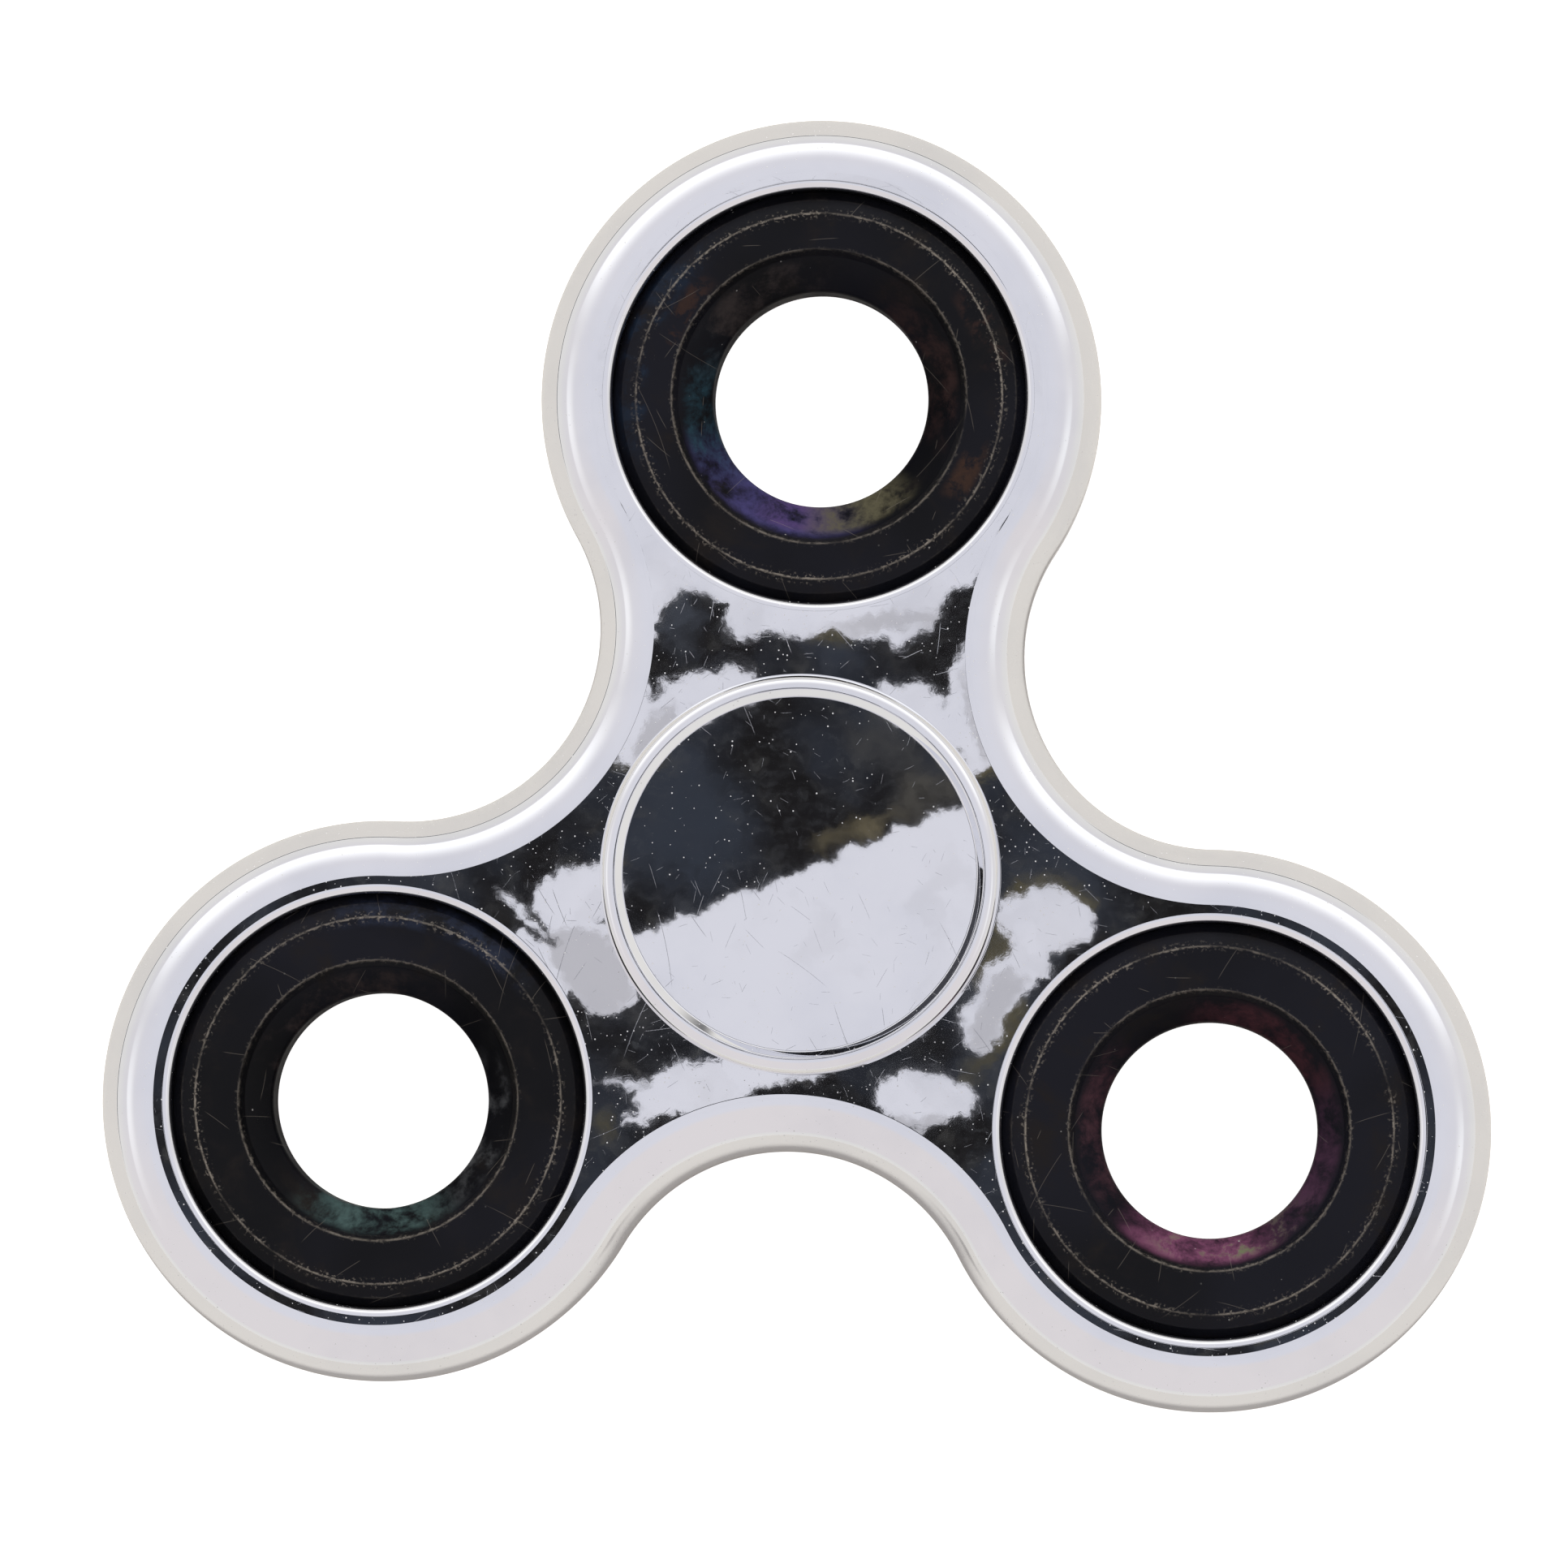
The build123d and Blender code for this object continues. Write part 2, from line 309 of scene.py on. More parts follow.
def makeChrome(name, ripple=1.0, dust=0.8, scratches=0.25):
    material, tree, shader, place = newMaterial(name)
    finish = chromeFinish
    haze = noise(tree, place, 140.0, 4.0, 0.6)
    specks = useGroup(tree, dustSpecks, Vector=place, Scale=finish["dustScale"], Amount=dust,
                      Size=finish["dustSize"])
    hair = scratchesOver(tree, place, finish["scratches"], [scratches] * len(finish["scratches"]))
    metalColor = blendColor(tree, ramp(tree, haze, 0.4, 0.75), finish["tint"], finish["hazeTint"])
    color = blendColor(tree, specks, metalColor, finish["dustColor"])
    plug(tree, color, shader.inputs["Base Color"])
    plug(tree, calc(tree, "SUBTRACT", 1.0, specks), shader.inputs["Metallic"])
    rough = ramp(tree, haze, 0.45, 0.8, finish["roughness"], finish["roughness"] * 1.6)
    rough = calc(tree, "ADD", rough, times(tree, hair, finish["scratchRoughness"]))
    rough = calc(tree, "ADD", rough, times(tree, specks, finish["dustRoughness"]), clamp=True)
    plug(tree, rough, shader.inputs["Roughness"])
    broad = noise(tree, place, 1.0 / finish["rippleSize"], 2.0, 0.45)
    fine = noise(tree, place, 7.0 / finish["rippleSize"], 3.0, 0.5)
    normal = bumpFrom(tree, broad, finish["rippleHeight"] * ripple)
    normal = bumpFrom(tree, fine, finish["fineRippleHeight"] * ripple, normal=normal)
    plug(tree, normal, shader.inputs["Normal"])
    return material


# blackened steel of the ring weights, with heat tints and painted sheen in the countersink, painted blue
# sheen on the shoulder, and worn bright edges

oxideFinish = {
    "black": (0.0036, 0.0036, 0.0046),
    "blue": (0.0080, 0.0082, 0.0125),
    "brown": (0.012, 0.0095, 0.0085),
    "steel": (0.34, 0.30, 0.25),
    "roughness": 0.34,
    "specular": 0.13,
    "dustColor": (0.45, 0.44, 0.42),
    "dustScale": 2600.0,
    "dustSize": 0.17,
    "dustAmount": 0.08,
    "scratches": ((210.0, 0.020e-3), (520.0, 0.022e-3)),
    "scratchAmounts": (0.45, 0.30),
    "scratchLevel": 0.30,
}


def makeBlackOxide(name, centre, edges, tints):
    # edges: radii that have worn bright, with their width and wear
    # tints: heat colours, some of them painted sheen, each on the side that its angle gives and between two
    # radii
    material, tree, shader, place = newMaterial(name)
    finish = oxideFinish
    radius = addNode(tree, "ShaderNodeAttribute", attribute_name="ringRadius").outputs["Fac"]
    local = vectorCalc(tree, "SUBTRACT", place, tuple(centre))
    mottle = noise(tree, place, 330.0, 5.0, 0.62, 0.4)
    broad = noise(tree, place, 95.0, 2.0, 0.5)
    color = blendColor(tree, ramp(tree, broad, 0.35, 0.65), finish["black"], finish["blue"])
    color = blendColor(tree, ramp(tree, mottle, 0.5, 0.78), color, finish["brown"])
    cloud = noise(tree, place, 480.0, 5.0, 0.7, 0.25)
    grit = ramp(tree, noise(tree, place, 2600.0, 3.0, 0.6), 0.3, 0.62, 0.75, 1.0)
    direction = vectorCalc(tree, "NORMALIZE", levelled(tree, local))
    # the tints go into the base colour: the bright ones on the side that faces the lamp are painted sheen
    # standing in for its reflection
    for angle, spread, (low, high), (faint, full), tintColor in tints:
        turn = math.radians(angle)
        facing = vectorCalc(tree, "DOT_PRODUCT", direction, (math.cos(turn), math.sin(turn), 0.0))
        inSpan = ramp(tree, facing, math.cos(math.radians(spread)), 1.0)
        halfway, reach = (low + high) / 2 * millimetre, (high - low) / 2 * millimetre
        away = calc(tree, "ABSOLUTE", calc(tree, "SUBTRACT", radius, halfway))
        band = ramp(tree, away, reach - 0.4 * millimetre, reach + 0.1 * millimetre, 1.0, 0.0)
        mask = times(tree, inSpan, band, ramp(tree, cloud, faint, full), grit)
        color = blendColor(tree, mask, color, tintColor)
    worn = 0.0
    for edge in edges:
        line = useGroup(tree, wornLine, Vector=place, Radius=radius, Edge=edge["radius"], Width=edge["width"],
                        Spread=edge["spread"], Wear=edge["wear"])
        worn = calc(tree, "MAXIMUM", worn, times(tree, line, edge["level"]))
    hair = times(tree, scratchesOver(tree, place, finish["scratches"], finish["scratchAmounts"]),
                 finish["scratchLevel"])
    specks = useGroup(tree, dustSpecks, Vector=place, Scale=finish["dustScale"], Amount=finish["dustAmount"],
                      Size=finish["dustSize"])
    bright = calc(tree, "MAXIMUM", worn, hair)
    color = blendColor(tree, bright, color, finish["steel"])
    color = blendColor(tree, times(tree, specks, 0.7), color, finish["dustColor"])
    plug(tree, color, shader.inputs["Base Color"])
    rough = ramp(tree, mottle, 0.3, 0.8, finish["roughness"] - 0.07, finish["roughness"] + 0.12)
    rough = calc(tree, "SUBTRACT", rough, times(tree, bright, 0.12), clamp=True)
    plug(tree, rough, shader.inputs["Roughness"])
    shader.inputs["Specular IOR Level"].default_value = finish["specular"]
    grain = noise(tree, place, 2400.0, 4.0, 0.6)
    normal = bumpFrom(tree, grain, 6e-6, 0.5)
    normal = bumpFrom(tree, mottle, 14e-6, 0.35, normal)
    normal = bumpFrom(tree, bright, -8e-6, 0.6, normal)
    plug(tree, normal, shader.inputs["Normal"])
    return material


# turned and pressed steel of the bearing

def makeSteel(name, color, roughness, linesAcross=0.0, grain=1.0):
    # linesAcross: how strongly fine turned lines run round the axis
    material, tree, shader, place = newMaterial(name)
    smear = noise(tree, place, 420.0, 4.0, 0.6)
    darker = tuple(value * 0.72 for value in color)
    plug(tree, blendColor(tree, ramp(tree, smear, 0.35, 0.75), color, darker),
         shader.inputs["Base Color"])
    shader.inputs["Metallic"].default_value = 1.0
    across = vectorCalc(tree, "LENGTH", levelled(tree, place))
    rings = addNode(tree, "ShaderNodeTexNoise", {"W": times(tree, across, 9000.0), "Scale": 1.0,
                                                 "Detail": 3.0}, noise_dimensions="1D").outputs["Fac"]
    speckle = noise(tree, place, 3000.0, 3.0, 0.6)
    worn = calc(tree, "ADD", smear, times(tree, speckle, 0.3))
    plug(tree, ramp(tree, worn, 0.4, 1.0, roughness, roughness + 0.16), shader.inputs["Roughness"])
    normal = bumpFrom(tree, rings, 2e-6 * linesAcross)
    normal = bumpFrom(tree, speckle, 1.5e-6 * grain, normal=normal)
    plug(tree, normal, shader.inputs["Normal"])
    return material


print("materials ready")


# Geometry Nodes trees

def newShapeTree(name, inputs):
    tree = bpy.data.node_groups.new(name, "GeometryNodeTree")
    tree.interface.new_socket("Geometry", in_out="INPUT", socket_type="NodeSocketGeometry")
    for label, kind, value in inputs:
        socket = tree.interface.new_socket(label, in_out="INPUT", socket_type=kind)
        if value is not None:
            socket.default_value = value
    tree.interface.new_socket("Geometry", in_out="OUTPUT", socket_type="NodeSocketGeometry")
    return tree, addNode(tree, "NodeGroupInput").outputs, addNode(tree, "NodeGroupOutput").inputs["Geometry"]


def finishTree(tree, geometry, finish, result):
    real = addNode(tree, "GeometryNodeRealizeInstances", {"Geometry": geometry})
    coated = addNode(tree, "GeometryNodeSetMaterial", {"Geometry": real.outputs[0], "Material": finish})
    plug(tree, coated.outputs[0], result)


def makeLatheTree():
    # turns the profile that the object's own points give about a vertical line through Centre
    tree, given, result = newShapeTree("latheSkin", [
        ("Centre", "NodeSocketVector", (0.0, 0.0, 0.0)), ("Turns", "NodeSocketInt", 240),
        ("Sharp Above", "NodeSocketFloat", 0.5), ("Finish", "NodeSocketMaterial", None)])
    size = addNode(tree, "GeometryNodeAttributeDomainSize", {"Geometry": given["Geometry"]})
    rows = size.outputs["Point Count"]
    columns = calc(tree, "ADD", given["Turns"], 1.0)
    grid = addNode(tree, "GeometryNodeMeshGrid", {"Size X": 1.0, "Size Y": 1.0, "Vertices X": columns,
                                                  "Vertices Y": rows})
    index = addNode(tree, "GeometryNodeInputIndex").outputs[0]
    row = calc(tree, "FLOORED_MODULO", index, rows)
    column = calc(tree, "FLOOR", calc(tree, "DIVIDE", calc(tree, "ADD", index, 0.5), rows))
    angle = times(tree, calc(tree, "DIVIDE", column, given["Turns"]), 2 * math.pi)
    sampled = addNode(tree, "GeometryNodeSampleIndex", {
        "Geometry": given["Geometry"], "Value": addNode(tree, "GeometryNodeInputPosition").outputs[0],
        "Index": row}, data_type="FLOAT_VECTOR", domain="POINT")
    parts = addNode(tree, "ShaderNodeSeparateXYZ", {"Vector": sampled.outputs[0]})
    radius, height = parts.outputs["X"], parts.outputs["Z"]
    turned = addNode(tree, "ShaderNodeCombineXYZ", {
        "X": times(tree, radius, calc(tree, "COSINE", angle)),
        "Y": times(tree, radius, calc(tree, "SINE", angle)), "Z": height})
    kept = addNode(tree, "GeometryNodeStoreNamedAttribute", {
        "Geometry": grid.outputs["Mesh"], "Name": "ringRadius", "Value": radius},
        data_type="FLOAT", domain="POINT")
    moved = addNode(tree, "GeometryNodeSetPosition", {
        "Geometry": kept.outputs[0],
        "Position": vectorCalc(tree, "ADD", turned.outputs[0], given["Centre"])})
    merged = addNode(tree, "GeometryNodeMergeByDistance", {"Geometry": moved.outputs[0], "Distance": 1e-6})
    flipped = addNode(tree, "GeometryNodeFlipFaces", {"Mesh": merged.outputs[0]})
    sharp = calc(tree, "GREATER_THAN", addNode(tree, "GeometryNodeInputMeshEdgeAngle").outputs[0],
                 given["Sharp Above"])
    faces = addNode(tree, "GeometryNodeSetShadeSmooth", {"Geometry": flipped.outputs[0],
                                                         "Shade Smooth": True}, domain="FACE")
    edges = addNode(tree, "GeometryNodeSetShadeSmooth", {"Geometry": faces.outputs[0], "Selection": sharp,
                                                         "Shade Smooth": False}, domain="EDGE")
    finishTree(tree, edges.outputs[0], given["Finish"], result)
    return tree


def makeBodyTree():
    # the moulded skin: faces sink very slightly between the bores, as thick plastic does when it cools
    tree, given, result = newShapeTree("mouldedSkin", [
        ("Half Height", "NodeSocketFloat", 0.004), ("Sink Depth", "NodeSocketFloat", 2e-6),
        ("Sink Size", "NodeSocketFloat", 0.009), ("Seed", "NodeSocketFloat", 3.0),
        ("Finish", "NodeSocketMaterial", None)])
    position = addNode(tree, "GeometryNodeInputPosition").outputs[0]
    parts = addNode(tree, "ShaderNodeSeparateXYZ", {"Vector": position})
    height = parts.outputs["Z"]
    level = calc(tree, "ABSOLUTE", height)
    near = ramp(tree, level, times(tree, given["Half Height"], 0.8), given["Half Height"])
    waves = addNode(tree, "ShaderNodeTexNoise", {
        "Vector": position, "W": given["Seed"], "Detail": 1.0,
        "Scale": calc(tree, "DIVIDE", 1.0, given["Sink Size"])}, noise_dimensions="4D").outputs["Fac"]
    down = times(tree, waves, given["Sink Depth"], near)
    side = times(tree, calc(tree, "SIGN", height), -1.0)
    offset = addNode(tree, "ShaderNodeCombineXYZ", {"Z": times(tree, down, side)})
    moved = addNode(tree, "GeometryNodeSetPosition", {"Geometry": given["Geometry"],
                                                      "Offset": offset.outputs[0]})
    smooth = addNode(tree, "GeometryNodeSetShadeSmooth", {"Geometry": moved.outputs[0], "Shade Smooth": True},
                     domain="FACE")
    finishTree(tree, smooth.outputs[0], given["Finish"], result)
    return tree


def meshObject(name, points, edges, faces):
    mesh = bpy.data.meshes.new(name)
    mesh.from_pydata(points, edges, faces)
    piece = bpy.data.objects.new(name, mesh)
    scene.collection.objects.link(piece)
    return piece


def growFrom(piece, tree, values):
    # runs the tree on the piece's own mesh and keeps the result as a plain mesh
    modifier = piece.modifiers.new("shape", "NODES")
    modifier.node_group = tree
    for item in tree.interface.items_tree:
        if item.in_out == "INPUT" and item.name in values:
            modifier[item.identifier] = values[item.name]
    bpy.context.view_layer.update()
    graph = bpy.context.evaluated_depsgraph_get()
    made = bpy.data.meshes.new_from_object(piece.evaluated_get(graph), preserve_all_data_layers=True,
                                           depsgraph=graph)
    piece.modifiers.clear()
    piece.data = made
    made.name = piece.name
    return piece


def roundedProfile(corners, step=7.5, guard=0.03 * millimetre):
    # (radius, height, rounding) corners to a list of points, with an arc at each rounded corner
    points = []
    for index, (x, z, rounding) in enumerate(corners):
        here = Vector((x, z))
        if rounding == 0:
            points.append(here)
            continue
        before = Vector(corners[index - 1][:2]) - here
        after = Vector(corners[(index + 1) % len(corners)][:2]) - here
        half = before.angle(after) / 2
        reach = rounding / math.tan(half)
        start, end = here + before.normalized() * reach, here + after.normalized() * reach
        centre = here + (before.normalized() + after.normalized()).normalized() * (rounding / math.sin(half))
        if before.length > reach + 2 * guard:
            points.append(start + before.normalized() * guard)
        sweep = math.pi - 2 * half
        count = max(2, math.ceil(math.degrees(sweep) / step))
        turn = sweep if (start - centre).cross(end - centre) > 0 else -sweep
        for number in range(count + 1):
            spin = turn * number / count
            arm = start - centre
            points.append(centre + Vector((arm.x * math.cos(spin) - arm.y * math.sin(spin),
                                           arm.x * math.sin(spin) + arm.y * math.cos(spin))))
        if after.length > reach + 2 * guard:
            points.append(end + after.normalized() * guard)
    return points


def latheObject(name, profile, centre, turns, finish, sharpAbove=0.5):
    points = [(point.x, 0.0, point.y) for point in profile]
    edges = [(number, number + 1) for number in range(len(points) - 1)]
    piece = meshObject(name, points, edges, [])
    return growFrom(piece, latheSkin, {"Centre": tuple(centre), "Turns": turns, "Sharp Above": sharpAbove,
                                       "Finish": finish})


latheSkin = makeLatheTree()
mouldedSkin = makeBodyTree()


# the body

bodyShape = {
    "waist": 14.7 * millimetre,
    "edgeRound": 3.0 * millimetre,
    "lipRound": 0.45 * millimetre,
    "hubLip": 1.0 * millimetre,
    "hubLipRound": 0.2 * millimetre,
    "seamInset": 0.012 * millimetre,
    "seamHeight": 0.03 * millimetre,
    "seamWidth": 0.10 * millimetre,
    "guard": 0.05 * millimetre,
    "lobeSteps": 150,
    "hollowSteps": 64,
    "boreSteps": 240,
    "edgeSteps": 14,
    "lipSteps": 8,
    "faceSpacing": 0.42 * millimetre,
    "sinkDepth": 2.0e-6,
    "sinkSize": 9.0 * millimetre,
    "seed": 3.0,
}
waist = bodyShape["waist"]
hollowRadius = ((armLength**2 + waist**2 - armLength * waist - lobeRadius**2)
                / (2 * lobeRadius + armLength - 2 * waist))
hollowDistance = waist + hollowRadius
lobeStep = 2 * math.pi / len(lobeAngles)


def onCircle(radius, angle):
    return Vector((radius * math.cos(angle), radius * math.sin(angle)))


def outlinePoints():
    # (point, outward direction) round the three lobes and the hollows between them
    points = []
    for lobe in lobeAngles:
        lobeCentre = onCircle(armLength, lobe)
        hollowCentre = onCircle(hollowDistance, lobe + lobeStep / 2)
        touch = (hollowCentre - lobeCentre).normalized()
        lobeHalf = math.atan2(onCircle(1, lobe).cross(touch), onCircle(1, lobe).dot(touch))
        for number in range(bodyShape["lobeSteps"]):
            angle = lobe - lobeHalf + 2 * lobeHalf * number / bodyShape["lobeSteps"]
            outward = onCircle(1, angle)
            points.append((lobeCentre + outward * lobeRadius, outward))
        inward = lobe + lobeStep / 2 + math.pi
        hollowHalf = math.atan2(onCircle(1, inward).cross(-touch), onCircle(1, inward).dot(-touch))
        for number in range(bodyShape["hollowSteps"]):
            angle = inward + hollowHalf - 2 * hollowHalf * number / bodyShape["hollowSteps"]
            toBody = onCircle(1, angle)
            points.append((hollowCentre + toBody * hollowRadius, -toBody))
    return points


def isInside(point, inset):
    # whether a point lies inside the outline moved in by inset
    angle = math.atan2(point.y, point.x)
    lobe = min(lobeAngles, key=lambda one: abs(math.remainder(angle - one, 2 * math.pi)))
    away = abs(math.remainder(angle - lobe, 2 * math.pi))
    folded = onCircle(point.length, away)
    lobeCentre = Vector((armLength, 0.0))
    if (folded - lobeCentre).length < lobeRadius - inset:
        return True
    hollowCentre = onCircle(hollowDistance, lobeStep / 2)
    side = (hollowCentre - lobeCentre).cross(folded - lobeCentre)
    return side > 0 and (folded - hollowCentre).length > hollowRadius + inset


def makeBody(finish):
    shape = bodyShape
    points, faces = [], []
    edgeRound, guard = shape["edgeRound"], shape["guard"]
    inset = shape["seamInset"] + shape["seamHeight"]
    quarter = [math.pi / 2 * number / shape["edgeSteps"] for number in range(shape["edgeSteps"] + 1)]
    rim = [(edgeRound + inset + guard, bodyHalf)]
    rim += [(inset + edgeRound * (1 - math.sin(turn)), bodyHalf - edgeRound * (1 - math.cos(turn)))
            for turn in quarter]
    rim += [(inset, shape["seamWidth"] * 1.5), (inset - shape["seamHeight"] * 0.3, shape["seamWidth"] * 0.7),
            (shape["seamInset"], shape["seamWidth"] * 0.25)]
    rim += [(inward, -height) for inward, height in reversed(rim)]
    outline = outlinePoints()

    def addLoops(loops, outwards):
        # joins loops of equal length with quads and returns the first and last loop's indices
        rows = []
        for loop in loops:
            rows.append(list(range(len(points), len(points) + len(loop))))
            points.extend(loop)
        for upper, lower in zip(rows, rows[1:]):
            for here in range(len(upper)):
                there = (here + 1) % len(upper)
                quad = (upper[here], lower[here], lower[there], upper[there])
                faces.append(quad if outwards else quad[::-1])
        return rows[0], rows[-1]

    loops = [[(*(point - outward * inward), height) for point, outward in outline] for inward, height in rim]
    ends = [addLoops(loops, True)]

    def mouth(radius, rounding, end):
        # the rounded mouth of a bore, from the guard loop on the face at height end down into the bore
        side = math.copysign(1.0, end)
        turns = [math.pi / 2 * number / shape["lipSteps"] for number in range(shape["lipSteps"] + 1)]
        wall = [(radius + rounding + guard, end)]
        wall += [(radius + rounding * (1 - math.sin(turn)), end - side * rounding * (1 - math.cos(turn)))
                 for turn in turns]
        return wall + [(radius, end - side * (rounding + guard))]

    lip = shape["lipRound"]
    opening = hubRadius - shape["hubLip"]
    ledge = [(opening, bearingHalf + guard), (opening, bearingHalf), (opening + guard, bearingHalf),
             (hubRadius - guard, bearingHalf), (hubRadius, bearingHalf), (hubRadius, bearingHalf - guard)]
    hubWall = mouth(opening, shape["hubLipRound"], bodyHalf) + ledge + mouth(hubRadius, lip, -bodyHalf)[::-1]
    lobeWall = mouth(weightRadius, lip, bodyHalf) + mouth(weightRadius, lip, -bodyHalf)[::-1]
    bores = [(Vector((0.0, 0.0)), hubWall)] + [(centre.xy, lobeWall) for centre in lobeCentres]
    spins = [2 * math.pi * number / shape["boreSteps"] for number in range(shape["boreSteps"])]
    for centre, wall in bores:
        loops = [[(*(centre + onCircle(radius, spin)), height) for spin in spins] for radius, height in wall]
        ends.append(addLoops(loops, False))

    # flat faces: triangles between the guard loops, with an even lattice of points inside
    spacing = shape["faceSpacing"]
    rowSpacing = spacing * math.sqrt(3) / 2
    keepOff = 0.7 * spacing
    clear = edgeRound + inset + keepOff
    reach = armLength + lobeRadius
    rows = int(reach / rowSpacing) + 1
    apothem = math.cos(math.pi / shape["boreSteps"])
    for side in (0, -1):
        mouths = [(centre, wall[side][0]) for centre, wall in bores]
        lattice = []
        for row in range(-rows, rows + 1):
            for column in range(-rows, rows + 1):
                spot = Vector(((column + 0.5 * (row % 2)) * spacing, row * rowSpacing))
                if spot.length >= reach or not isInside(spot, clear):
                    continue
                if all((spot - centre).length > radius + keepOff for centre, radius in mouths):
                    lattice.append(spot)
        ring = [index for end in ends for index in end[side]]
        flat = [Vector(points[index][:2]) for index in ring] + lattice
        constraints = []
        base = 0
        for end in ends:
            count = len(end[side])
            constraints += [(base + here, base + (here + 1) % count) for here in range(count)]
            base += count
        height = bodyHalf if side == 0 else -bodyHalf
        ring += list(range(len(points), len(points) + len(lattice)))
        points.extend((*spot, height) for spot in lattice)
        found = delaunay_2d_cdt(flat, constraints, [], 0, 1e-9)
        origin = [group[0] for group in found[3]]
        for triangle in found[2]:
            corners = [found[0][index] for index in triangle]
            heart = (corners[0] + corners[1] + corners[2]) / 3
            hollow = any((heart - centre).length < radius * apothem for centre, radius in mouths)
            if hollow or not isInside(heart, edgeRound + inset + guard * 0.9):
                continue
            upwards = (corners[1] - corners[0]).cross(corners[2] - corners[0]) > 0
            face = tuple(ring[origin[index]] for index in triangle)
            faces.append(face if upwards == (side == 0) else face[::-1])
    piece = meshObject("bodyShell", points, [], faces)
    return growFrom(piece, mouldedSkin, {
        "Half Height": bodyHalf, "Sink Depth": shape["sinkDepth"], "Sink Size": shape["sinkSize"],
        "Seed": shape["seed"], "Finish": finish})


bodyShell = makeBody(makeChrome("bodyChrome"))
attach(bodyShell, "rotor")
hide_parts("body")
print("body:", len(bodyShell.data.polygons), "faces")


# the ring weights

weightShape = {
    "wideFace": 7.85 * millimetre,
    "narrowFace": 7.45 * millimetre,
    "stepWidth": 0.3 * millimetre,
    "stepDepth": 0.5 * millimetre,
    "faceEdge": 9.75 * millimetre,
    "shoulderWidth": 0.75 * millimetre,
    "shoulderDepth": 0.3 * millimetre,
    "rimDepth": 0.6 * millimetre,
    "bowlRound": 0.5 * millimetre,
    "stepRound": 0.2 * millimetre,
    "faceRound": 0.05 * millimetre,
    "shoulderRound": 0.12 * millimetre,
    "turns": 240,
    "sharpAbove": 0.9,
    "wideFaceUp": (True, False, False),
}
# heat colours of each weight, with painted sheen: the bright spots in the bowl on the ring's lower side and
# the blue on its upper shoulder are painted reflection of the lamp. Each has the side it faces and its spread
# in degrees, the radii it lies between in millimetres, where the cloudy pattern starts and where it is full,
# and its colour
heatTintsAndSheen = [
    [(245, 55, (5.0, 7.6), (0.30, 0.62), (0.062, 0.054, 0.160)),
     (262, 24, (5.0, 7.3), (0.35, 0.60), (0.085, 0.050, 0.150)),
     (292, 32, (5.0, 7.4), (0.34, 0.58), (0.105, 0.095, 0.058)),
     (190, 45, (5.0, 7.4), (0.40, 0.68), (0.022, 0.062, 0.085)),
     (20, 50, (5.0, 7.5), (0.42, 0.70), (0.045, 0.024, 0.022)),
     (130, 50, (5.0, 7.5), (0.45, 0.70), (0.050, 0.040, 0.038)),
     (165, 45, (9.0, 10.9), (0.42, 0.60), (0.010, 0.018, 0.034)),
     (150, 18, (7.9, 9.2), (0.50, 0.60), (0.034, 0.018, 0.014)),
     (335, 14, (8.1, 9.6), (0.42, 0.56), (0.042, 0.022, 0.015)),
     (25, 16, (8.6, 10.4), (0.46, 0.60), (0.034, 0.018, 0.015))],
    [(270, 45, (5.0, 7.2), (0.38, 0.62), (0.060, 0.100, 0.095)),
     (345, 50, (5.0, 7.1), (0.42, 0.66), (0.070, 0.072, 0.075)),
     (120, 70, (5.0, 7.1), (0.45, 0.72), (0.050, 0.036, 0.034)),
     (75, 40, (9.2, 10.9), (0.40, 0.60), (0.018, 0.024, 0.045))],
    [(266, 46, (5.0, 7.2), (0.28, 0.62), (0.230, 0.075, 0.150)),
     (285, 50, (5.0, 7.0), (0.50, 0.62), (0.150, 0.170, 0.090)),
     (340, 55, (5.0, 7.1), (0.34, 0.66), (0.070, 0.030, 0.058)),
     (60, 50, (5.0, 7.1), (0.36, 0.66), (0.085, 0.028, 0.036)),
     (180, 50, (5.0, 7.1), (0.40, 0.68), (0.080, 0.035, 0.045))],
]
# how the edge of the flat face, the edge of its opening and the edge of the shoulder have worn
wornEdges = [
    {"width": 0.09e-3, "spread": 0.42e-3, "wear": 0.62, "level": 0.85},
    {"width": 0.10e-3, "spread": 0.24e-3, "wear": 0.68, "level": 0.50},
    {"width": 0.08e-3, "spread": 0.25e-3, "wear": 0.45, "level": 0.2},
]


def sideCorners(face, side):
    # the corners of one side of a ring weight, from its hole out to its rim
    shape = weightShape
    top = weightHalf
    shoulder = top - shape["shoulderDepth"]
    rim = shoulder - shape["rimDepth"]
    step = top - shape["stepDepth"]
    stepEdge = face - shape["stepWidth"]
    return [
        (weightHole, side * (step - (stepEdge - weightHole)), shape["bowlRound"]),
        (stepEdge, side * step, shape["stepRound"]),
        (face, side * top, shape["faceRound"]),
        (shape["faceEdge"], side * top, shape["faceRound"]),
        (shape["faceEdge"] + shape["shoulderWidth"], side * shoulder, shape["shoulderRound"]),
        (weightRadius, side * rim, shape["shoulderRound"]),
    ]


